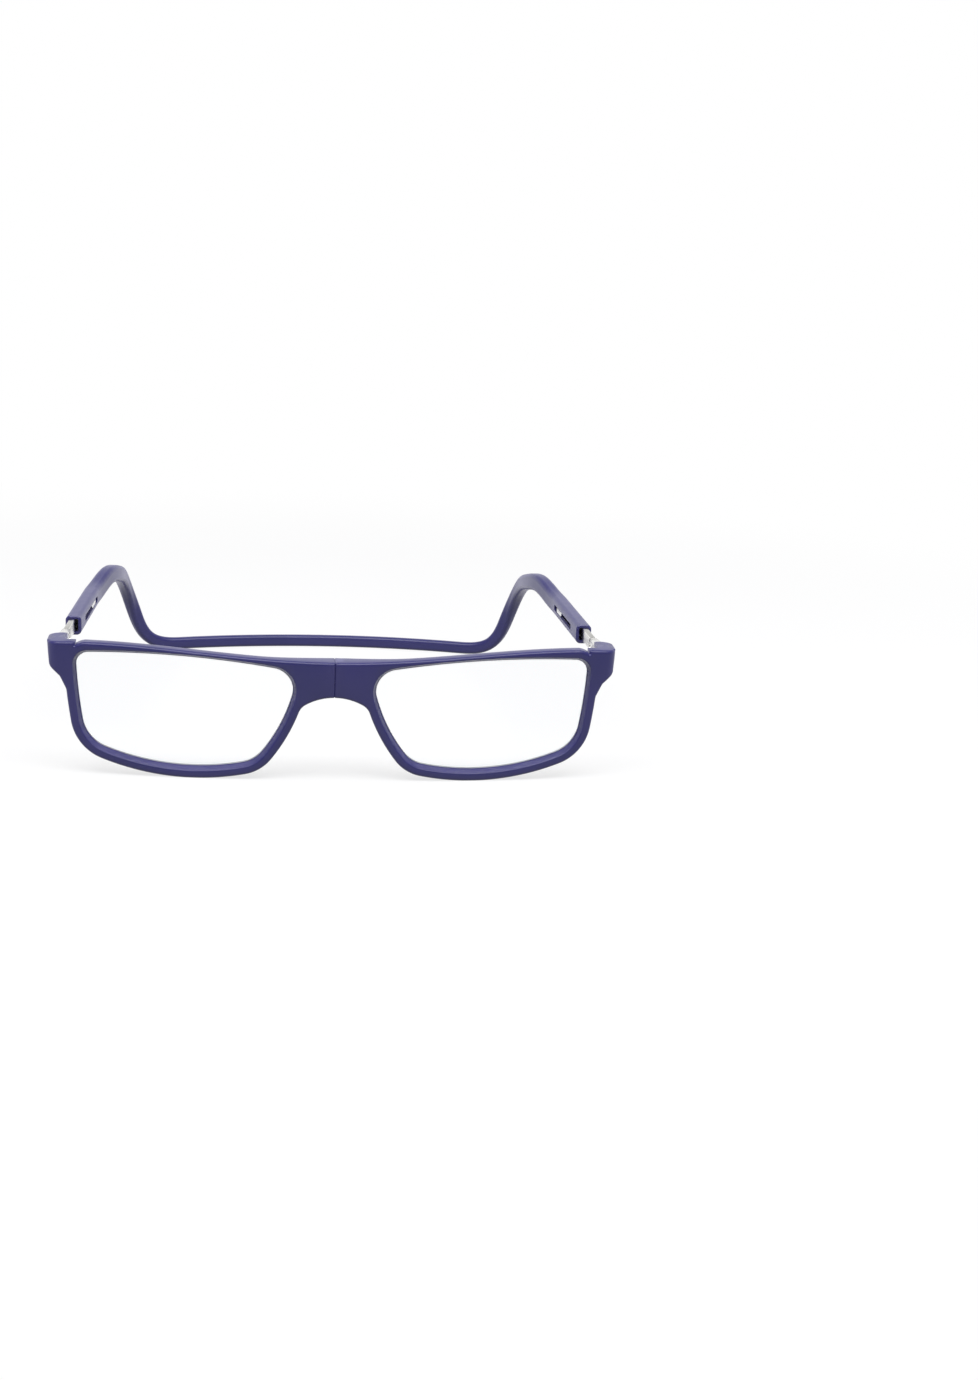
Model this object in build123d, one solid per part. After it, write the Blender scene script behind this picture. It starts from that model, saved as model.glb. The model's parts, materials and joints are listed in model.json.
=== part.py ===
from build123d import *
import math
import os

# Magnetic bridge reading glasses
# X runs across the face, Y runs back from the front, Z is up, and the glasses stand on Z = 0.
# Everything is drawn with Y = 0 at the bridge's front face, and is moved to the middle of its depth last.

# The whole object
front_width = 145.0
total_depth = 157.0
front_wrap = 6.0

# Outline of a front half, seen from the front
brow_height = 34.2
brow_peak_share = 0.85
brow_end_drop = 0.3
brow_end_slope_share = 0.06
bridge_dip = 3.3
bridge_height = 9.2
bridge_arch_radius = 14.5
bridge_blend = 4.0
rim_width = 2.9
end_height = 6.3
end_lean = 0.6
end_foot_inset = 3.3
end_foot_drop = 2.5
end_heel_drop = 6.8
end_heel_share = 0.87
end_corner_radius = 2.2
end_foot_radius = 1.8
end_blend = 3.0

# Lens opening, seen from the front: four corners, the swell of the four sides and the corner radii
bridge_half_width = 9.5
nose_slope_width = 10.6
end_width = 7.2
temple_lean = 2.7
nose_top_drop = 6.3
temple_top_drop = 3.0
temple_foot_rise = 8.91
nose_foot_rise = 4.69
swell_top = 1.7
swell_temple = 0.5
swell_foot = 3.7
swell_nose = 1.95
corner_nose_top = 5.7
corner_temple_top = 3.2
corner_temple_foot = 9.2
corner_nose_foot = 8.0

# Thickness of a front half, seen from above
rim_depth = 4.0
bridge_depth = 6.3
bridge_taper_reach = 20.0
front_corner_radius = 3.2
front_round = 0.8
brow_rear_round = 0.5
foot_rear_round = 0.3
edge_touch = 0.05
opening_round = 0.3
rim_bevel_width = 0.9
rim_bevel_depth = 2.2

# Nose pads, moulded with the rims
pad_length = 4.4
pad_lean = 0.3
pad_width = 1.7
pad_foot_z = 6.2
pad_top_drop = 0.7
pad_root = 0.5

# Hinge: a pin through two knuckles of the leaf and one of the wedge
ear_radius = 2.7
pin_setback = 7.7
ear_thickness = 1.0
end_floor_depth = 3.9
end_wall_thickness = 0.95
wall_setback = 1.3
end_block_width = 4.5
pin_radius = 0.7
pin_clearance = 0.05
knuckle_radius = 1.55
leaf_knuckle_height = 1.35
knuckle_gap = 0.05
screw_head_radius = 1.05
screw_head_clearance = 0.08
screw_slot_width = 0.3
screw_slot_depth = 0.35
screw_head_sink = 0.15
screw_end_gap = 0.1
leaf_plate_thickness = 0.9
leaf_plate_width = 4.0
leaf_fit = 0.03
leaf_web_width = 1.5
anchor_width = 2.0
anchor_height = 2.6
anchor_depth = 1.9

# Slider: wedge, flat bar, rivet and catch
swing_clearance = 0.35
wedge_length = 11.0
wedge_front_height = 5.1
wedge_front_width = 2.7
bar_height = 3.5
bar_thickness = 1.5
bar_fit = 0.08
bar_edge = 0.25
wedge_round = 0.45
wedge_front_share = 0.4
wedge_cheek = 0.42
web_share = 0.55
tenon_length = 4.0
tenon_thickness = 0.7
tenon_height = 2.5
rivet_radius = 0.45
rivet_dish_length = 2.6
rivet_dish_height = 1.7
rivet_dish_depth = 0.25
rivet_end_share = 0.8
catch_length = 6.0
catch_height = 1.3
catch_seat_depth = 0.35
catch_ridges = 4
catch_ridge_share = 0.5
catch_ridge_depth = 0.4
catch_end_gap = 0.3
catch_flush = 0.05

# Headband: hollow arms, humps, legs and rear band in one moulding
mouth_gap = 12.25
arm_width = 4.2
arm_height = 5.2
arm_wall = 0.8
arm_corner = 1.3
arm_solid_length = 1.4
slot_start = 9.0
slot_length = 27.0
slot_rear_room = 3.5
slot_height = 1.6
cavity_tail = 0.6
slot_end_room = 0.2
cavity_corner = 0.5
mouth_bevel = 0.3
arm_toe_in = 2.4
bow_radius = 150.0
heel_reach = 11.0
heel_tightness_share = 0.78
bow_end_share = 0.643
# Places along the side: shares of the arm's X, of the way from the arm's end to the rear, and of its height
rise_shares = (0.951, 0.10, 1.008)
hump_shares = (0.915, 0.29, 1.063)
fall_shares = (0.894, 0.449, 1.0)
leg_shares = (0.838, 0.82, 0.385)
band_width = 2.9
band_height = 3.6
band_corner = 1.1
over_ear_sections = 22
heel_sections = 12

# Lenses: a plus meniscus with a bevelled edge in the rim's groove
lens_front_radius = 400.0
lens_rear_radius = 1500.0
lens_pole_depth = 1.85
lens_middle = 2.3
lens_bevel = 0.75
lens_bevel_setback = 0.45
lens_bevel_thickness = 0.7
lens_fit = 0.06

# Magnets and the interlock at the bridge
magnet_radius = 2.4
magnet_thickness = 1.9
magnet_fit = 0.05
magnet_setback = 0.06
bridge_gap = 0.04
prong_length = 2.0
prong_height = 1.5
prong_setback = 2.0
prong_rear_setback = 0.7
prong_fit = 0.1
prong_swing_fit = 0.26

half_width = front_width / 2
wrap_radius = (half_width**2 + front_wrap**2) / (2 * front_wrap)
bridge_top = brow_height - bridge_dip
bridge_bottom = bridge_top - bridge_height
bridge_middle_z = (bridge_top + bridge_bottom) / 2
brow_end_height = brow_height - brow_end_drop
end_bottom = brow_end_height - end_height
temple_x = half_width - end_width
opening_nose_top = (bridge_half_width, brow_height - nose_top_drop)
opening_temple_top = (temple_x, brow_height - temple_top_drop)
opening_temple_foot = (temple_x - temple_lean, temple_foot_rise)
opening_nose_foot = (bridge_half_width + nose_slope_width, nose_foot_rise)
opening_corners = (opening_nose_top, opening_temple_top, opening_temple_foot, opening_nose_foot)
opening_swells = (swell_top, swell_temple, swell_foot, swell_nose)
opening_radii = (corner_nose_top, corner_temple_top, corner_temple_foot, corner_nose_foot)
lens_x = (opening_nose_top[0] + opening_temple_top[0]) / 2
lens_z = (opening_nose_top[1] + opening_nose_foot[1]) / 2
pad_top_z = bridge_bottom - pad_top_drop
pad_height = pad_top_z - pad_foot_z
pin_x = half_width - ear_radius
pin_y = front_wrap + pin_setback
hinge_z = (brow_end_height + end_bottom) / 2
recess_height = end_height - 2 * ear_thickness
wedge_knuckle_height = recess_height - 2 * leaf_knuckle_height - 4 * knuckle_gap
recess_floor_y = front_wrap + end_floor_depth
bar_side_room = bar_fit + slot_rear_room * math.sin(math.radians(arm_toe_in))
bar_outer_x = pin_x + arm_width / 2 - arm_wall - bar_side_room
bar_x = bar_outer_x - bar_thickness / 2
wedge_front_x = pin_x + (bar_x - pin_x) * wedge_front_share
wedge_front_y = pin_y + ear_radius + swing_clearance
wedge_rear_y = wedge_front_y + wedge_length
mouth_y = wedge_rear_y + mouth_gap
slot_front_y = mouth_y + slot_start
slot_rear_y = slot_front_y + slot_length
bar_rear_y = slot_rear_y - slot_rear_room
arm_end_y = slot_rear_y + cavity_tail + arm_solid_length


def front_face_y(x):
    return wrap_radius - math.sqrt(wrap_radius**2 - x**2)


def stand_up(flat, start, end):
    # A shape drawn in X and Z, given depth from Y = start to Y = end.
    return extrude(Plane.XZ.offset(-start) * flat, start - end)


def raise_up(flat, low, high):
    # A shape drawn in X and Y, given height from Z = low to Z = high.
    return extrude(Pos(0, 0, low) * flat, high - low)


def block(x_range, y_range, z_range):
    size = [abs(high - low) for low, high in (x_range, y_range, z_range)]
    middle = [(high + low) / 2 for low, high in (x_range, y_range, z_range)]
    return Pos(*middle) * Box(*size)


def post(radius, low, high):
    # A round post along the hinge pin.
    return Pos(pin_x, pin_y, (low + high) / 2) * Cylinder(radius, high - low)


def nearest_vertex(shape, point):
    return min(shape.vertices(), key=lambda v: (Vector(v.X, v.Y) - Vector(*point)).length)


def curved_outline(corners, swells, radii):
    sides = []
    for index, start in enumerate(corners):
        end = corners[(index + 1) % len(corners)]
        run = Vector(*end) - Vector(*start)
        outward = Vector(-run.Y, run.X).normalized()
        middle = (Vector(*start) + Vector(*end)) / 2 + outward * swells[index]
        sides.append(ThreePointArc(start, middle, end))
    face = make_face(Wire(sides))
    for corner, radius in zip(corners, radii):
        face = fillet(nearest_vertex(face, corner), radius)
    return face


def opening_outline(growth=0.0):
    face = curved_outline(opening_corners, opening_swells, opening_radii)
    if growth:
        face = offset(face, amount=growth)
    # Every side and corner is an arc, so each is drawn again as a plain one.
    arcs = [ThreePointArc(edge @ 0, edge @ 0.5, edge @ 1) for edge in face.edges()]
    return make_face(Wire(arcs))


def brow_region():
    # All below the brow line, which is level at the bridge and highest near the end.
    start = (0, bridge_top)
    peak = (half_width * brow_peak_share, brow_height)
    end = (half_width, brow_end_height)
    brow = Spline(start, peak, end, tangents=((1, 0), (1, -brow_end_slope_share)))
    sides = Polyline(end, (half_width, -rim_width), (0, -rim_width), start)
    return make_face(Wire([*brow.edges(), *sides.edges()]))


def end_heel():
    # The end piece's lowest point, on the rim's temple side.
    heel_z = end_bottom - end_heel_drop
    top_x, top_z = opening_temple_top
    foot_x, foot_z = opening_temple_foot
    side_x = foot_x + (top_x - foot_x) * (heel_z - foot_z) / (top_z - foot_z) + swell_temple
    return side_x + rim_width * end_heel_share, heel_z


def end_piece_outline():
    inner_x = opening_temple_top[0]
    top_z = brow_height + rim_width
    side_x = half_width - end_lean
    foot = (half_width - end_foot_inset, end_bottom - end_foot_drop)
    heel = end_heel()
    face = make_face(
        Polyline(
            (inner_x, top_z),
            (half_width, top_z),
            (half_width, brow_end_height),
            (side_x, end_bottom),
            foot,
            heel,
            (inner_x, heel[1]),
            close=True,
        )
    )
    face = fillet(nearest_vertex(face, foot), end_foot_radius)
    return fillet(nearest_vertex(face, (side_x, end_bottom)), end_corner_radius)


def arch_z(x):
    # The height of the bridge's underside, a round arch over the nose.
    return bridge_bottom - bridge_arch_radius + math.sqrt(bridge_arch_radius**2 - x**2)


def bridge_outline():
    inner_x = opening_nose_foot[0]
    top_z = brow_height + rim_width
    middle_x = bridge_half_width / 2
    foot = (bridge_half_width, arch_z(bridge_half_width))
    arch = ThreePointArc((0, bridge_bottom), (middle_x, arch_z(middle_x)), foot)
    sides = Polyline(foot, (inner_x, foot[1]), (inner_x, top_z), (0, top_z), (0, bridge_bottom))
    return make_face(Wire([*arch.edges(), *sides.edges()]))


def half_outline():
    outline = (opening_outline(rim_width) + end_piece_outline() + bridge_outline()) & brow_region()
    inner_corner = (bridge_half_width, arch_z(bridge_half_width))
    outline = fillet(nearest_vertex(outline, inner_corner), bridge_blend)
    outline = fillet(nearest_vertex(outline, end_heel()), end_blend)
    return outline - opening_outline()


def wrap_line(start_x, depth):
    points = [(x, front_face_y(x) + depth) for x in (start_x, (start_x + half_width) / 2, half_width)]
    return ThreePointArc(*points)


def rear_lines():
    # The rear side seen from above: the bridge's depth eases into the rim's.
    rim_line = wrap_line(bridge_taper_reach, rim_depth)
    bridge_line = Spline((0, bridge_depth), rim_line @ 0, tangents=((1, 0), tuple(rim_line % 0)))
    return bridge_line, rim_line


def front_plan():
    # The front half seen from above: the wrapped rim, the deeper bridge and the ear round the hinge pin.
    block_middle_x = half_width - end_block_width + half_width / 2
    face_line = wrap_line(0, 0)
    bridge_line, rim_line = rear_lines()
    ends = [Line(face_line @ 1, rim_line @ 1), Line(bridge_line @ 0, face_line @ 0)]
    rim = make_face(Wire([face_line, rim_line, bridge_line, *ends]))
    ear = Pos(pin_x, pin_y) * Circle(ear_radius)
    ear += Pos(pin_x, (pin_y + front_wrap) / 2) * Rectangle(2 * ear_radius, pin_y - front_wrap)
    ear &= Pos(block_middle_x, 0) * Rectangle(half_width, total_depth)
    return fillet(nearest_vertex(rim + ear, (half_width, front_wrap)), front_corner_radius)


def edges_over(body, lines):
    # The edges that lie over lines of the plan, except those at the bridge's end face.
    found = []
    for edge in body.edges():
        middle = edge @ 0.5
        flat = Vector(middle.X, middle.Y, 0)
        if middle.X > edge_touch and min(line.distance_to(flat) for line in lines) < edge_touch:
            found.append(edge)
    return found


def near_opening(edge, reach):
    middle = edge @ 0.5
    flat = Vector(middle.X, middle.Z, 0)
    return min(side.distance_to(flat) for side in opening_outline().edges()) < reach


def opening_side(edges, reach=0.0):
    return [edge for edge in edges if near_opening(edge, reach + edge_touch)]


def outer_side(edges, reach=0.0):
    # The straight edges of the hinge's ear stay sharp at the rear.
    curved = [edge for edge in edges if edge.geom_type != GeomType.LINE]
    return [edge for edge in curved if not near_opening(edge, reach + edge_touch)]


def bevelled_opening(body, face_lines):
    # The sloping band round the opening, between the front face and the lens.
    edges = opening_side(edges_over(body, face_lines))
    front_face = body.faces().filter_by(GeomType.CYLINDER).sort_by(SortBy.AREA)[-1]
    body = chamfer(edges, rim_bevel_width, rim_bevel_depth, reference=front_face)
    return fillet(opening_side(edges_over(body, face_lines), rim_bevel_width), opening_round)


def rounded_front():
    above = brow_height + rim_width
    face_lines = [wrap_line(0, 0)]
    body = stand_up(half_outline(), -rim_depth, total_depth) & raise_up(front_plan(), -rim_depth, above)
    edges = edges_over(body, face_lines)
    body = fillet([edge for edge in edges if not near_opening(edge, edge_touch)], front_round)
    body = bevelled_opening(body, face_lines)
    body = fillet(opening_side(edges_over(body, rear_lines())), opening_round)
    rear = outer_side(edges_over(body, rear_lines()), opening_round)
    body = fillet([edge for edge in rear if (edge @ 0.5).Z > bridge_top], brow_rear_round)
    rear = outer_side(edges_over(body, rear_lines()), opening_round)
    body = fillet([edge for edge in rear if (edge @ 0.5).Z < bridge_bottom], foot_rear_round)
    # The rim's lowest stretch is ground flat where it stands.
    return body - block((0, half_width), (-rim_depth, total_depth), (-rim_width, 0))


def nose_pad():
    # A blade along the rim's nose side that leans towards the nose as it runs back.
    blade = opening_outline(rim_width) - opening_outline(rim_width - pad_width)
    middle_x = (opening_nose_top[0] + opening_nose_foot[0]) / 2
    middle_z = (pad_foot_z + pad_top_z) / 2
    blade &= Pos(middle_x - half_width / 2, middle_z) * Rectangle(half_width, pad_height)
    root_y = rim_depth - pad_root
    root = Plane.XZ.offset(-root_y) * blade
    lean = Vector(-pad_lean, pad_length, 0)
    reach = lean.length + pad_root
    pad = extrude(root, reach, dir=lean.normalized())
    side = make_face(
        Wire(
            [
                ThreePointArc((0, pad_foot_z), (pad_length + pad_root, middle_z), (0, pad_top_z)),
                Line((0, pad_top_z), (0, pad_foot_z)),
            ]
        )
    )
    side_plane = Plane(origin=(0, root_y, 0), x_dir=(0, 1, 0), z_dir=(1, 0, 0))
    return pad & extrude(side_plane * side, half_width)


def hinge_recess():
    # The pocket for the leaf, open to the rear and the inner side, and past the pin to the outer side.
    low = end_bottom + ear_thickness
    high = low + recess_height
    inner_x = half_width - end_block_width - ear_radius
    wall_x = half_width - end_wall_thickness
    swing_y = pin_y - wall_setback
    rear_y = pin_y + 2 * ear_radius
    pocket = block((inner_x, wall_x), (recess_floor_y, rear_y), (low, high))
    pocket += block((inner_x, half_width + ear_radius), (swing_y, rear_y), (low, high))
    return pocket


def anchor():
    # The leaf's root, moulded into the end piece.
    middle_y = recess_floor_y - anchor_depth / 2
    return Pos(pin_x, middle_y, hinge_z) * Box(anchor_width, anchor_depth, anchor_height)


def lens_surface(radius, depth):
    # The ball whose front pole is the given distance behind the front face at the lens's middle.
    slope = math.asin(lens_x / wrap_radius)
    away = Vector(-math.sin(slope), math.cos(slope), 0)
    centre = Vector(lens_x, front_face_y(lens_x) + depth, lens_z) + away * radius
    return Pos(centre) * Sphere(radius)


def lens_shape(fit=0.0):
    # With fit above zero this is the room that the lens needs.
    low = -total_depth
    body = stand_up(opening_outline(-lens_fit), low, total_depth)
    edge = stand_up(opening_outline(lens_bevel + fit), low, total_depth)
    rear_pole_depth = lens_pole_depth + lens_middle
    shell = lens_surface(lens_front_radius, lens_pole_depth)
    shell -= lens_surface(lens_rear_radius, rear_pole_depth)
    bevel_depth = lens_pole_depth + lens_bevel_setback - fit
    rear_depth = bevel_depth + lens_bevel_thickness + 2 * fit
    ring = lens_surface(lens_front_radius, bevel_depth) - lens_surface(lens_front_radius, rear_depth)
    return (body & shell) + (edge & ring)


def bridge_prongs(growth_front=0.0, growth=0.0):
    # The two prongs of the left half, which fill the two notches of the right half.
    front = prong_setback - growth_front
    rear = bridge_depth - prong_rear_setback + growth
    reach = prong_length + growth
    top = block((-prong_length, reach), (front, rear), (bridge_top - prong_height - growth, bridge_top))
    foot_top = bridge_bottom + prong_height + growth
    foot = block((-prong_length, reach), (front, rear), (bridge_bottom, foot_top))
    return top, foot


def magnet_shape(fit=0.0):
    # Lying along X with its outer face just inside the bridge's end face.
    start = bridge_gap / 2 + magnet_setback
    length = magnet_thickness + fit
    middle_y = bridge_depth / 2
    turned = Rot(0, 90, 0) * Cylinder(magnet_radius + fit, length)
    return Pos(start + length / 2, middle_y, bridge_middle_z) * turned


def magnet_pocket():
    turned = Rot(0, 90, 0) * Cylinder(magnet_radius + magnet_fit, magnet_setback + bridge_gap)
    mouth = Pos((magnet_setback + bridge_gap) / 2, bridge_depth / 2, bridge_middle_z) * turned
    return magnet_shape(magnet_fit) + mouth


def leaf_shape():
    low = end_bottom + ear_thickness
    high = low + recess_height
    plate_low = low + leaf_fit
    plate_high = high - leaf_fit
    plate_x = (pin_x - leaf_plate_width / 2, pin_x + knuckle_radius)
    plate_y = (recess_floor_y, recess_floor_y + leaf_plate_thickness)
    leaf = block(plate_x, plate_y, (plate_low, plate_high)) + anchor()
    for knuckle_low in (plate_low, plate_high - leaf_knuckle_height):
        knuckle_high = knuckle_low + leaf_knuckle_height
        leaf += post(knuckle_radius, knuckle_low, knuckle_high)
        web_x = (pin_x - leaf_web_width / 2, pin_x + knuckle_radius)
        leaf += block(web_x, (recess_floor_y, pin_y), (knuckle_low, knuckle_high))
    return leaf - post(pin_radius + pin_clearance, low - ear_thickness, high)


def screw_shape():
    low = end_bottom + ear_thickness
    tip = low + recess_height - screw_end_gap
    head_low = end_bottom + screw_head_sink
    screw = post(screw_head_radius, head_low, low) + post(pin_radius, low, tip)
    slot = Pos(pin_x, pin_y, head_low) * Box(2 * screw_head_radius, screw_slot_width, 2 * screw_slot_depth)
    return screw - slot


def screw_hole():
    low = end_bottom - end_corner_radius
    return post(screw_head_radius + screw_head_clearance, low, end_bottom + ear_thickness)


def front_half(with_prongs):
    # Drawn as the half on the +X side. The half with prongs is mirrored to the -X side afterwards.
    body = rounded_front() + nose_pad()
    body -= hinge_recess()
    body -= anchor()
    body -= screw_hole()
    body -= lens_shape(lens_fit)
    body -= block((-half_width, bridge_gap / 2), (-rim_depth, total_depth), (0, brow_height))
    body -= magnet_pocket()
    if with_prongs:
        for prong in bridge_prongs():
            body += mirror(prong, Plane.YZ)
    else:
        for notch in bridge_prongs(prong_swing_fit, prong_fit):
            body -= notch
    return body


def upright_section(y, middle_x, width, height, corner):
    # A rounded upright rectangle across the arm at one depth.
    plane = Plane(origin=(middle_x, y, hinge_z), x_dir=(1, 0, 0), z_dir=(0, 1, 0))
    return plane * RectangleRounded(width, height, corner)


def wedge_shape():
    # One knuckle on the pin, a web, and the wedge that narrows to the bar.
    half_knuckle = wedge_knuckle_height / 2
    front_size = (wedge_front_width, wedge_front_height, wedge_round)
    rear_size = (bar_thickness + 2 * wedge_cheek, bar_height, wedge_round)
    front_section = upright_section(wedge_front_y, wedge_front_x, *front_size)
    rear_section = upright_section(wedge_rear_y, bar_x, *rear_size)
    wedge = loft([front_section, rear_section])
    knuckle_z = (hinge_z - half_knuckle, hinge_z + half_knuckle)
    wedge += post(knuckle_radius, *knuckle_z)
    web_x = (pin_x - knuckle_radius * web_share, pin_x + knuckle_radius)
    wedge += block(web_x, (pin_y, wedge_front_y + wedge_round), knuckle_z)
    wedge -= post(pin_radius + pin_clearance, *knuckle_z)
    wedge -= tenon()
    wedge -= rivet_hole()
    return wedge - rivet_dish()


def tenon():
    start = wedge_rear_y - tenon_length
    place_y = start + tenon_length / 2
    return Pos(bar_x, place_y, hinge_z) * Box(tenon_thickness, tenon_length, tenon_height)


def rivet_y():
    return wedge_rear_y - tenon_length / 2


def rivet_hole():
    turned = Rot(0, 90, 0) * Cylinder(rivet_radius, 2 * wedge_front_width)
    return Pos(bar_x, rivet_y(), hinge_z) * turned


def wedge_inner_x():
    # Where the wedge's inner side lies at the rivet.
    share = 1 - tenon_length / 2 / wedge_length
    front_x = wedge_front_x - wedge_front_width / 2
    rear_x = bar_x - bar_thickness / 2 - wedge_cheek
    return front_x + (rear_x - front_x) * share


def rivet_dish():
    inner_x = wedge_inner_x()
    origin = (inner_x - rivet_dish_depth, rivet_y(), hinge_z)
    plane = Plane(origin=origin, x_dir=(0, 1, 0), z_dir=(1, 0, 0))
    return extrude(plane * SlotOverall(rivet_dish_length, rivet_dish_height), 2 * rivet_dish_depth)


def rivet_shape():
    start = wedge_inner_x() + rivet_dish_depth
    end = bar_x + bar_thickness / 2 + wedge_cheek * rivet_end_share
    turned = Rot(0, 90, 0) * Cylinder(rivet_radius, end - start)
    return Pos((start + end) / 2, rivet_y(), hinge_z) * turned


def bar_shape():
    # The flat bar between the wedge and the slot's rear part, with a tongue held in the wedge.
    length = bar_rear_y - wedge_rear_y
    flat = Pos(bar_x, wedge_rear_y + length / 2, hinge_z) * Box(bar_thickness, length, bar_height)
    flat = fillet(flat.edges().filter_by(Axis.Y), bar_edge)
    bar = flat + tenon() - rivet_hole()
    return bar - catch_seat()


def catch_seat():
    rear = bar_rear_y - catch_end_gap
    inner_x = bar_x - bar_thickness / 2
    return block(
        (inner_x - bar_thickness, inner_x + catch_seat_depth),
        (rear - catch_length, rear),
        (hinge_z - catch_height / 2, hinge_z + catch_height / 2),
    )


def catch_shape():
    # The ridged catch that stands in the arm's slot, flush with the arm's inner side.
    rear = bar_rear_y - catch_end_gap
    face_x = pin_x - arm_width / 2 + catch_flush
    seat_x = bar_x - bar_thickness / 2 + catch_seat_depth
    catch = block(
        (face_x, seat_x),
        (rear - catch_length, rear),
        (hinge_z - catch_height / 2, hinge_z + catch_height / 2),
    )
    catch = fillet(catch.edges().filter_by(Axis.Z).group_by(Axis.X)[0], catch_ridge_depth)
    pitch = catch_length / (catch_ridges + 1)
    for index in range(catch_ridges):
        y = rear - pitch * (index + 1)
        groove = Pos(face_x, y, hinge_z) * Cylinder(pitch * catch_ridge_share / 2, catch_height)
        catch -= groove
    return catch


def toed_in(shape):
    # Turned about the hinge pin, so that the two arms draw nearer to each other towards the rear.
    return Pos(pin_x, pin_y, 0) * Rot(0, 0, arm_toe_in) * Pos(-pin_x, -pin_y, 0) * shape


def side_place(shares):
    across, back, up = shares
    return (pin_x * across, arm_end_y + (total_depth - arm_end_y) * back, hinge_z * up)


def side_lines():
    # The arm's middle line over the ear, and the heel that turns it into the rear bow.
    bow = rear_bow()
    heel_end = bow @ 0
    heel_corner = heel_end - (bow % 0) * heel_reach
    heel_start = Vector(*side_place(leg_shares))
    arm_line = toed_in(Line((pin_x, pin_y, hinge_z), (pin_x, arm_end_y, hinge_z)))
    over_ear = Spline(
        arm_line @ 1,
        side_place(rise_shares),
        side_place(hump_shares),
        side_place(fall_shares),
        side_place(leg_shares),
        tangents=(tuple(arm_line % 1), tuple(heel_corner - heel_start)),
    )
    heel = Bezier(
        heel_start,
        heel_start + (heel_corner - heel_start) * heel_tightness_share,
        heel_end + (heel_corner - heel_end) * heel_tightness_share,
        heel_end,
    )
    return over_ear, heel


def rear_bow():
    # The rear band's middle line from one side to the middle, a level arc.
    angle = math.asin(pin_x * bow_end_share / bow_radius)
    centre_y = total_depth - band_width / 2 - bow_radius
    points = []
    for share in (1.0, 0.5, 0.0):
        turn = angle * share
        x = bow_radius * math.sin(turn)
        y = centre_y + bow_radius * math.cos(turn)
        points.append((x, y, band_height / 2))
    return ThreePointArc(*points)


def band_section(path, share, size):
    spot = path @ share
    run = path % share
    across = run.cross(Vector(0, 0, 1)).normalized()
    plane = Plane(origin=spot, x_dir=across, z_dir=run)
    return plane * RectangleRounded(*size)


def tapered_size(share):
    # Width, height and corner radius, blended from the arm's to the band's along the side.
    eased = share * share * (3 - 2 * share)
    arm = (arm_width, arm_height, arm_corner)
    band = (band_width, band_height, band_corner)
    return [first + (last - first) * eased for first, last in zip(arm, band)]


def arm_tube():
    # The straight hollow arm: a mouth at the front and a slot in the inner side.
    length = arm_end_y - mouth_y
    solid = extrude(upright_section(mouth_y, pin_x, arm_width, arm_height, arm_corner), length)
    solid = chamfer(solid.faces().sort_by(Axis.Y)[0].edges(), mouth_bevel)
    inner_width = arm_width - 2 * arm_wall
    inner_height = bar_height + 2 * bar_fit
    depth = slot_rear_y + cavity_tail - mouth_y
    cavity = extrude(upright_section(mouth_y, pin_x, inner_width, inner_height, cavity_corner), depth)
    slot_origin = (pin_x, (slot_front_y + slot_rear_y) / 2, hinge_z)
    slot_plane = Plane(origin=slot_origin, x_dir=(0, 1, 0), z_dir=(-1, 0, 0))
    slot = extrude(slot_plane * SlotOverall(slot_length + 2 * slot_end_room, slot_height), arm_width)
    return solid - cavity - slot


def side_loft():
    over_ear, heel = side_lines()
    stations = [(over_ear, index / over_ear_sections) for index in range(over_ear_sections)]
    stations += [(heel, index / heel_sections) for index in range(heel_sections + 1)]
    last = len(stations) - 1
    sections = []
    for index, (line, share) in enumerate(stations):
        sections.append(band_section(line, share, tapered_size(index / last)))
    return loft(sections)


def headband():
    bow = rear_bow()
    band_size = (band_width, band_height, band_corner)
    rear = sweep(band_section(bow, 0, band_size), bow)
    side = toed_in(arm_tube()) + side_loft() + rear
    return side + mirror(side, Plane.YZ)


def place(shape, left=False):
    if left:
        shape = mirror(shape, Plane.YZ)
    return Pos(0, -total_depth / 2, 0) * shape


def build_nodes():
    nodes = {"headband": place(headband())}
    for side, left in (("left", True), ("right", False)):
        nodes[f"front_{side}"] = place(front_half(left), left)
        nodes[f"lens_{side}"] = place(lens_shape(), left)
        nodes[f"magnet_{side}"] = place(magnet_shape(), left)
        nodes[f"hinge_leaf_{side}"] = place(leaf_shape(), left)
        nodes[f"hinge_screw_{side}"] = place(screw_shape(), left)
        nodes[f"hinge_wedge_{side}"] = place(toed_in(wedge_shape()), left)
        nodes[f"slide_bar_{side}"] = place(toed_in(bar_shape()), left)
        nodes[f"bar_rivet_{side}"] = place(toed_in(rivet_shape()), left)
        nodes[f"slide_catch_{side}"] = place(toed_in(catch_shape()), left)
    return nodes


os.makedirs("parts", exist_ok=True)
for name, solid in build_nodes().items():
    export_step(solid, f"parts/{name}.step")
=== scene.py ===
import json
import math

import bmesh
import bpy
from mathutils import Matrix, Vector

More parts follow.
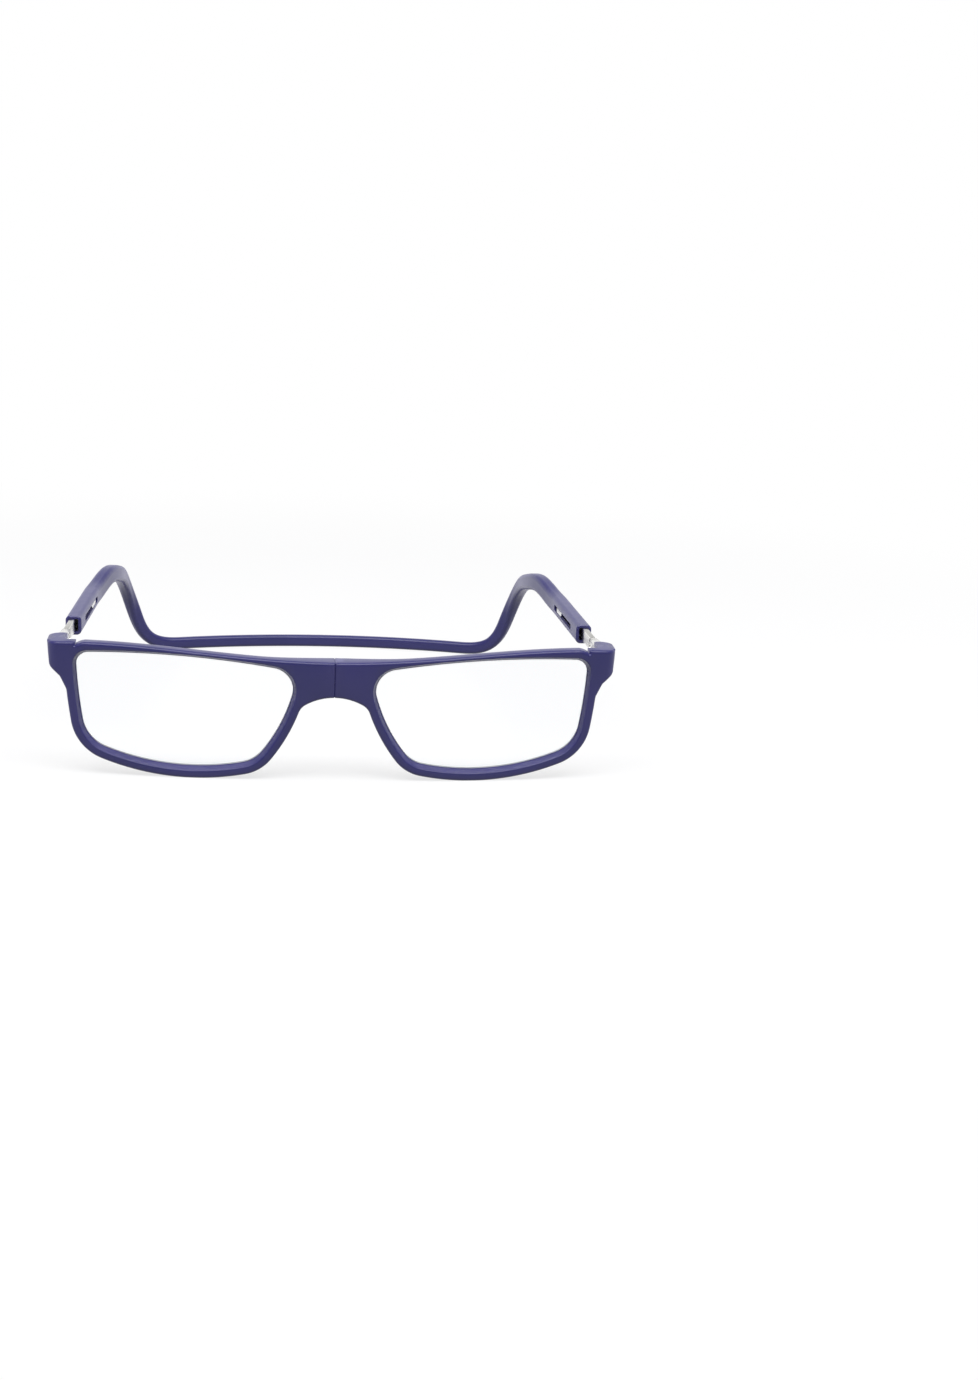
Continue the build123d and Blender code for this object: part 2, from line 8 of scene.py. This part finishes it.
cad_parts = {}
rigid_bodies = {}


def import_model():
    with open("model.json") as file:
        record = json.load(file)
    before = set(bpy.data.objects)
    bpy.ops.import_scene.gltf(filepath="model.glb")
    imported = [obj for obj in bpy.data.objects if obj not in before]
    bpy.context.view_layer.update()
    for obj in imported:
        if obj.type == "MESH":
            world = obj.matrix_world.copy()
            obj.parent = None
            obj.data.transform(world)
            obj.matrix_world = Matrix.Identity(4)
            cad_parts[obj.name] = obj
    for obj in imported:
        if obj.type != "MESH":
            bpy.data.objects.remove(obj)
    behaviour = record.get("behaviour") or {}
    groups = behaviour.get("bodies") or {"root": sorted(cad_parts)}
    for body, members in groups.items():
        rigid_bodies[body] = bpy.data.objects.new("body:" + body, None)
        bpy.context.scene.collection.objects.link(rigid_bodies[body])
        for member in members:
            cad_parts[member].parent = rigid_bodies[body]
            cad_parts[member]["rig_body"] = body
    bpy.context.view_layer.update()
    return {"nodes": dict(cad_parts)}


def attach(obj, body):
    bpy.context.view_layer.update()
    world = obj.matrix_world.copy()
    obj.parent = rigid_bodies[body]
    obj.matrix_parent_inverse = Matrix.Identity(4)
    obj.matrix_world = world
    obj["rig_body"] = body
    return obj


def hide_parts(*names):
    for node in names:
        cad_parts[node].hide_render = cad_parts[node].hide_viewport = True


# Magnetic bridge reading glasses: looks, light and camera
# Lengths are in metres. X runs across the face, -Y is the front and Z is up.

mm = 0.001
white = (1.0, 1.0, 1.0, 1.0)

# Camera, at the photograph's viewing angle
camera_place = (-0.01742, -0.61793, 0.15801)
camera_yaw = 0.1045
camera_pitch = 0.2412
camera_roll = 0.0399
camera_lens_mm = 57.20
sensor_mm = 36.0
clip_near = 0.02
clip_far = 20.0

# Floor: its own colour, and how much plain white shows in it near the object and further out
floor_size = 8.0
floor_colour = (0.68, 0.68, 0.69, 1.0)
floor_roughness = 0.9
floor_glow = 0.1
floor_glow_near = 0.74
floor_glow_far = 1.0
floor_fade_start = 0.18
floor_fade_end = 0.42

# World: the dome lights the object, and the room shows in mirror-like surfaces
dome_low = 0.1
dome_high = 0.7
room_front = 0.15
room_rear = 1.0
room_front_y = -0.6
room_rear_y = 0.3
room_overhead = 0.25
room_low_z = 0.25
room_high_z = 0.7

# Lamps
top_light_place = (0.0, -0.35, 0.85)
top_light_size = (1.2, 0.5)
top_light_power = 11.0
side_light_x = 0.9
side_light_y = -0.1
side_light_z = 0.3
side_light_size = (0.6, 0.6)
side_light_power = 2.5

# Satin plastic of the front halves and the headband
plastic_dark = (0.021, 0.021, 0.113, 1.0)
plastic_light = (0.029, 0.026, 0.136, 1.0)
plastic_worn = (0.07, 0.065, 0.21, 1.0)
plastic_refraction = 1.5
plastic_reflection = 0.45
plastic_smoothest = 0.3
plastic_roughest = 0.38
drift_scale = 60.0
drift_detail = 4.0
gloss_scale = 300.0
gloss_detail = 3.0
wear_reach = 0.35 * mm
wear_start = 0.995
wear_full = 0.9
wear_samples = 6
blotch_scale = 900.0
blotch_detail = 2.0
grain_scale = 7000.0
grain_detail = 2.0
grain_strength = 0.1
grain_height = 0.015 * mm
ripple_scale = 250.0
ripple_detail = 2.0
ripple_strength = 0.06
ripple_height = 0.2 * mm
sheen_weight = 0.3
sheen_roughness = 0.3
sheen_tint = (0.74, 0.72, 1.0, 1.0)

# Where a noise takes on its first and its second colour
colour_shares = (0.3, 0.7)

# Lenses
lens_colour = (0.985, 0.99, 1.0, 1.0)
lens_refraction = 1.5
lens_film_thickness = 380.0
lens_film_refraction = 1.38
lens_face_share = 0.75
lens_edge_share = 0.55
lens_edge_roughness = 0.35

# Metals: colour, roughness and the stretch of the brushed streaks
slider_metal = ((0.92, 0.91, 0.88, 1.0), 0.24, (1.0, 0.08, 1.0))
hinge_metal = ((0.82, 0.82, 0.81, 1.0), 0.3, (1.0, 1.0, 0.1))
screw_metal = ((0.93, 0.93, 0.92, 1.0), 0.16, (1.0, 1.0, 1.0))
streak_scale = 1200.0
streak_detail = 4.0
streak_roughness = 0.6
streak_shade = 0.86
streak_smooth_share = 0.7
streak_rough_share = 1.4
streak_strength = 0.1
streak_height = 0.01 * mm

# Rounding of the small metal pieces' edges
metal_round = 0.12 * mm
small_round = 0.06 * mm
sharp_edge = math.radians(28.0)
rounded_steps = 3
flat_angle = math.radians(0.5)

# The seam between the two front halves
seam_round = 0.22 * mm
seam_depth = 0.16 * mm
seam_gap = 0.04 * mm
seam_reach = 0.005 * mm
seam_cut_reach = 0.0001 * mm
seam_facing = 0.99
front_sharp_angle = math.radians(35.0)

merge_distance = 0.001 * mm


def set_inputs(shader, values):
    for name, value in values.items():
        shader.inputs[name].default_value = value


def new_material(name):
    material = bpy.data.materials.new(name)
    material.use_nodes = True
    tree = material.node_tree
    shader = tree.nodes["Principled BSDF"]
    return material, tree, shader


def link(tree, source, target):
    tree.links.new(source, target)


def link_or_set(tree, value, socket):
    if hasattr(value, "is_linked"):
        link(tree, value, socket)
    else:
        socket.default_value = value


def object_coordinates(tree):
    return tree.nodes.new("ShaderNodeTexCoord").outputs["Object"]


def noise(tree, scale, detail, roughness=0.5, stretch=None):
    vector = object_coordinates(tree)
    if stretch is not None:
        mapping = tree.nodes.new("ShaderNodeMapping")
        mapping.inputs["Scale"].default_value = stretch
        link(tree, vector, mapping.inputs["Vector"])
        vector = mapping.outputs["Vector"]
    node = tree.nodes.new("ShaderNodeTexNoise")
    set_inputs(node, {"Scale": scale, "Detail": detail, "Roughness": roughness})
    link(tree, vector, node.inputs["Vector"])
    return node.outputs["Fac"]


def two_colours(tree, factor, first, second):
    node = tree.nodes.new("ShaderNodeValToRGB")
    colours = (first, second)
    for element, place, colour in zip(node.color_ramp.elements, colour_shares, colours):
        element.position = place
        element.color = colour
    link(tree, factor, node.inputs["Fac"])
    return node.outputs["Color"]


def combine(tree, operation, first, second=None):
    node = tree.nodes.new("ShaderNodeMath")
    node.operation = operation
    link(tree, first, node.inputs[0])
    if second is not None:
        link(tree, second, node.inputs[1])
    return node.outputs[0]


def between(tree, value, low, high, start=0.0, end=1.0, interpolation="LINEAR"):
    # Runs from low to high while the value runs from start to end.
    node = tree.nodes.new("ShaderNodeMapRange")
    node.interpolation_type = interpolation
    set_inputs(node, {"From Min": start, "From Max": end, "To Min": low, "To Max": high})
    link(tree, value, node.inputs["Value"])
    return node.outputs["Result"]


def mix_colour(tree, factor, first, second):
    node = tree.nodes.new("ShaderNodeMix")
    node.data_type = "RGBA"
    link_or_set(tree, factor, node.inputs[0])
    link_or_set(tree, first, node.inputs[6])
    link_or_set(tree, second, node.inputs[7])
    return node.outputs[2]


def mix_value(tree, factor, first, second):
    node = tree.nodes.new("ShaderNodeMix")
    link_or_set(tree, factor, node.inputs[0])
    link_or_set(tree, first, node.inputs[2])
    link_or_set(tree, second, node.inputs[3])
    return node.outputs[0]


def bump(tree, height, strength, distance, normal=None):
    node = tree.nodes.new("ShaderNodeBump")
    set_inputs(node, {"Strength": strength, "Distance": distance})
    link(tree, height, node.inputs["Height"])
    if normal is not None:
        link(tree, normal, node.inputs["Normal"])
    return node.outputs["Normal"]


def edge_mask(tree):
    # One along sharp edges, zero on flat faces.
    bevel = tree.nodes.new("ShaderNodeBevel")
    bevel.samples = wear_samples
    bevel.inputs["Radius"].default_value = wear_reach
    geometry = tree.nodes.new("ShaderNodeNewGeometry")
    dot = tree.nodes.new("ShaderNodeVectorMath")
    dot.operation = "DOT_PRODUCT"
    link(tree, bevel.outputs["Normal"], dot.inputs[0])
    link(tree, geometry.outputs["Normal"], dot.inputs[1])
    return between(tree, dot.outputs["Value"], 0.0, 1.0, wear_start, wear_full)


def soft_touch_plastic(name):
    # Satin moulded plastic: faint colour drift, fine grain, lighter rubbed edges and a pale grazing sheen.
    material, tree, shader = new_material(name)
    drift = noise(tree, drift_scale, drift_detail)
    colour = two_colours(tree, drift, plastic_dark, plastic_light)
    blotch = noise(tree, blotch_scale, blotch_detail)
    wear = combine(tree, "MULTIPLY", edge_mask(tree), blotch)
    link(tree, mix_colour(tree, wear, colour, plastic_worn), shader.inputs["Base Color"])
    gloss = noise(tree, gloss_scale, gloss_detail)
    roughness = between(tree, gloss, plastic_smoothest, plastic_roughest)
    link(tree, roughness, shader.inputs["Roughness"])
    grain = bump(tree, noise(tree, grain_scale, grain_detail), grain_strength, grain_height)
    ripple = noise(tree, ripple_scale, ripple_detail)
    surface = bump(tree, ripple, ripple_strength, ripple_height, grain)
    link(tree, surface, shader.inputs["Normal"])
    set_inputs(shader, {
        "IOR": plastic_refraction,
        "Specular IOR Level": plastic_reflection,
        "Sheen Weight": sheen_weight,
        "Sheen Roughness": sheen_roughness,
        "Sheen Tint": sheen_tint,
    })
    return material


def clear_lens(name):
    # Polished faces and a frosted ground edge.
    material, tree, shader = new_material(name)
    normal = tree.nodes.new("ShaderNodeTexCoord").outputs["Normal"]
    split = tree.nodes.new("ShaderNodeSeparateXYZ")
    link(tree, normal, split.inputs[0])
    facing = combine(tree, "ABSOLUTE", split.outputs["Y"])
    frost = between(tree, facing, 0.0, lens_edge_roughness, lens_face_share, lens_edge_share)
    link(tree, frost, shader.inputs["Roughness"])
    set_inputs(shader, {
        "Base Color": lens_colour,
        "Transmission Weight": 1.0,
        "IOR": lens_refraction,
        "Thin Film Thickness": lens_film_thickness,
        "Thin Film IOR": lens_film_refraction,
    })
    return material


def brushed_metal(name, finish):
    colour, roughness, stretch = finish
    material, tree, shader = new_material(name)
    streaks = noise(tree, streak_scale, streak_detail, streak_roughness, stretch)
    shaded = [channel * streak_shade for channel in colour[:3]] + [1.0]
    link(tree, two_colours(tree, streaks, shaded, colour), shader.inputs["Base Color"])
    smoothest = roughness * streak_smooth_share
    roughest = roughness * streak_rough_share
    link(tree, between(tree, streaks, smoothest, roughest), shader.inputs["Roughness"])
    link(tree, bump(tree, streaks, streak_strength, streak_height), shader.inputs["Normal"])
    set_inputs(shader, {"Metallic": 1.0})
    return material


def plain_floor():
    # A pale floor that shows the contact shadow faintly near the object and is plain white further out.
    # The white is for rays from the camera, from mirror-like surfaces and through the lenses.
    bpy.ops.mesh.primitive_plane_add(size=floor_size)
    floor = bpy.context.object
    floor.name = "floor"
    material, tree, shader = new_material("pale_floor")
    set_inputs(shader, {
        "Base Color": floor_colour,
        "Roughness": floor_roughness,
        "Specular IOR Level": 0.0,
    })
    path = tree.nodes.new("ShaderNodeLightPath")
    seen = combine(tree, "MAXIMUM", path.outputs["Is Camera Ray"], path.outputs["Is Glossy Ray"])
    seen = combine(tree, "MAXIMUM", seen, path.outputs["Is Transmission Ray"])
    glow = tree.nodes.new("ShaderNodeEmission")
    set_inputs(glow, {"Color": white})
    link(tree, between(tree, seen, floor_glow, 1.0), glow.inputs["Strength"])
    reach = tree.nodes.new("ShaderNodeVectorMath")
    reach.operation = "LENGTH"
    link(tree, object_coordinates(tree), reach.inputs[0])
    fade = between(tree, reach.outputs["Value"], floor_glow_near, floor_glow_far,
                   floor_fade_start, floor_fade_end, "SMOOTHSTEP")
    mix = tree.nodes.new("ShaderNodeMixShader")
    link(tree, fade, mix.inputs[0])
    link(tree, shader.outputs[0], mix.inputs[1])
    link(tree, glow.outputs[0], mix.inputs[2])
    link(tree, mix.outputs[0], tree.nodes["Material Output"].inputs["Surface"])
    floor.data.materials.append(material)


def pale_world():
    # White where it is seen directly, and a dome that is brightest overhead for scattered light.
    # Mirror-like surfaces see a room that is white behind the object and greyer in front and overhead.
    world = bpy.data.worlds.new("studio")
    bpy.context.scene.world = world
    world.use_nodes = True
    tree = world.node_tree
    background = tree.nodes["Background"]
    background.inputs["Color"].default_value = white
    split = tree.nodes.new("ShaderNodeSeparateXYZ")
    link(tree, tree.nodes.new("ShaderNodeTexCoord").outputs["Generated"], split.inputs[0])
    height = split.outputs["Z"]
    dome = between(tree, height, dome_low, dome_high)
    depth = between(tree, split.outputs["Y"], room_front, room_rear, room_front_y, room_rear_y)
    overhead = between(tree, height, 1.0, room_overhead, room_low_z, room_high_z)
    room = combine(tree, "MULTIPLY", depth, overhead)
    path = tree.nodes.new("ShaderNodeLightPath")
    mirrored = mix_value(tree, path.outputs["Is Glossy Ray"], dome, room)
    straight = combine(tree, "MAXIMUM", path.outputs["Is Camera Ray"], path.outputs["Is Transmission Ray"])
    link(tree, mix_value(tree, straight, mirrored, 1.0), background.inputs["Strength"])


def area_lamp(name, place, size, power):
    # A soft lamp that points at the object.
    data = bpy.data.lights.new(name, "AREA")
    data.shape = "RECTANGLE"
    data.size, data.size_y = size
    data.energy = power
    lamp = bpy.data.objects.new(name, data)
    bpy.context.scene.collection.objects.link(lamp)
    lamp.location = place
    lamp.rotation_mode = "QUATERNION"
    lamp.rotation_quaternion = (-Vector(place)).to_track_quat("-Z", "Y")
    return lamp


def add_lamps():
    area_lamp("top_light", top_light_place, top_light_size, top_light_power)
    for side in (-1.0, 1.0):
        # Flat metal sides mirror the room and not these lamps, so that they keep their grey.
        place = (side_light_x * side, side_light_y, side_light_z)
        lamp = area_lamp("side_light", place, side_light_size, side_light_power)
        lamp.visible_glossy = False


def add_camera():
    data = bpy.data.cameras.new("camera")
    data.lens = camera_lens_mm
    data.sensor_width = sensor_mm
    data.clip_start = clip_near
    data.clip_end = clip_far
    camera = bpy.data.objects.new("camera", data)
    bpy.context.scene.collection.objects.link(camera)
    forward = Vector((
        math.sin(camera_yaw) * math.cos(camera_pitch),
        math.cos(camera_yaw) * math.cos(camera_pitch),
        -math.sin(camera_pitch),
    ))
    level = Vector((math.cos(camera_yaw), -math.sin(camera_yaw), 0.0))
    raised = level.cross(forward)
    right = level * math.cos(camera_roll) + raised * math.sin(camera_roll)
    up = raised * math.cos(camera_roll) - level * math.sin(camera_roll)
    turn = Matrix((right, up, -forward)).transposed()
    camera.matrix_world = Matrix.Translation(camera_place) @ turn.to_4x4()
    bpy.context.scene.camera = camera


def side_of(name):
    # The piece's kind, without its side.
    return name.removesuffix("_left").removesuffix("_right")


def standing_for(node):
    # A new piece with the node's shape, on the node's body.
    piece = bpy.data.objects.new(node.name + "_finished", node.data.copy())
    bpy.context.scene.collection.objects.link(piece)
    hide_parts(node.name)
    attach(piece, node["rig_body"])
    return piece


def opened_mesh(piece):
    # The piece's mesh, open for changes, with the points joined that share a place.
    work = bmesh.new()
    work.from_mesh(piece.data)
    bmesh.ops.remove_doubles(work, verts=work.verts, dist=merge_distance)
    return work


def closed_mesh(piece, work):
    work.to_mesh(piece.data)
    work.free()


def merge_flat_faces(piece):
    work = opened_mesh(piece)
    bmesh.ops.dissolve_limit(work, angle_limit=flat_angle, verts=work.verts, edges=work.edges)
    closed_mesh(piece, work)


def round_edges(piece, width):
    # Rounds each sharp edge of a metal piece, so that it catches the light.
    merge_flat_faces(piece)
    piece.data.shade_smooth()
    rounding = piece.modifiers.new("rounding", "BEVEL")
    rounding.width = width
    rounding.segments = rounded_steps
    rounding.limit_method = "ANGLE"
    rounding.angle_limit = sharp_edge
    rounding.harden_normals = True
    rounding.use_clamp_overlap = True


def metal_pieces(frame):
    finishes = {
        "magnet": (metal_round, "magnet_metal"),
        "hinge_leaf": (small_round, "hinge_metal"),
        "hinge_screw": (small_round, "screw_metal"),
        "hinge_wedge": (small_round, "slider_metal"),
        "slide_bar": (small_round, "slider_metal"),
        "bar_rivet": (small_round, "screw_metal"),
        "slide_catch": (small_round, "slider_metal"),
    }
    pieces = {}
    for name, node in frame["nodes"].items():
        if side_of(name) in finishes:
            width, slot_name = finishes[side_of(name)]
            pieces[name] = standing_for(node)
            round_edges(pieces[name], width)
    return pieces


def seam_edges(work, seam_x):
    # The outer loop of the face that meets the other half.
    loose = {
        edge
        for edge in work.edges
        if len(edge.link_faces) == 2
        and all(abs(vert.co.x - seam_x) < seam_reach for vert in edge.verts)
        and sum(abs(face.normal.x) > seam_facing for face in edge.link_faces) == 1
    }
    loops = []
    while loose:
        waiting = [loose.pop()]
        loop = []
        while waiting:
            edge = waiting.pop()
            loop.append(edge)
            for vert in edge.verts:
                for other in vert.link_edges:
                    if other in loose:
                        loose.discard(other)
                        waiting.append(other)
        loops.append(loop)
    return max(loops, key=lambda loop: sum(edge.calc_length() for edge in loop))


def open_seam(piece, seam_x, inward):
    # Draws the edge round the meeting face in, so that the seam shows as a fine groove.
    work = opened_mesh(piece)
    cut = Vector((seam_x + inward * seam_round, 0.0, 0.0))
    geometry = list(work.verts) + list(work.edges) + list(work.faces)
    across = (1.0, 0.0, 0.0)
    bmesh.ops.bisect_plane(work, geom=geometry, plane_co=cut, plane_no=across, dist=seam_cut_reach)
    work.normal_update()
    moves = {}
    for edge in seam_edges(work, seam_x):
        side = next(face for face in edge.link_faces if abs(face.normal.x) <= seam_facing)
        for vert in edge.verts:
            moves.setdefault(vert, Vector())
            moves[vert] -= Vector((0.0, side.normal.y, side.normal.z)).normalized()
    for vert, way in moves.items():
        vert.co += way.normalized() * seam_depth
    closed_mesh(piece, work)


def front_pieces(frame):
    pieces = {}
    for name, inward in (("front_left", -1.0), ("front_right", 1.0)):
        pieces[name] = standing_for(frame["nodes"][name])
        open_seam(pieces[name], seam_gap / 2 * inward, inward)
        pieces[name].data.set_sharp_from_angle(angle=front_sharp_angle)
    return pieces


def dress(frame, pieces):
    slider = brushed_metal("slider_metal", slider_metal)
    bright = brushed_metal("screw_metal", screw_metal)
    looks = {
        "headband": soft_touch_plastic("band_plastic"),
        "front": soft_touch_plastic("front_plastic"),
        "lens": clear_lens("lens"),
        "magnet": bright,
        "hinge_leaf": brushed_metal("hinge_metal", hinge_metal),
        "hinge_screw": bright,
        "hinge_wedge": slider,
        "slide_bar": slider,
        "bar_rivet": bright,
        "slide_catch": bright,
    }
    for name, node in frame["nodes"].items():
        for slot in pieces.get(name, node).material_slots:
            slot.material = looks[side_of(name)]


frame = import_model()

add_camera()
dress(frame, metal_pieces(frame) | front_pieces(frame))
plain_floor()
pale_world()
add_lamps()

bpy.context.scene.view_settings.view_transform = "Standard"
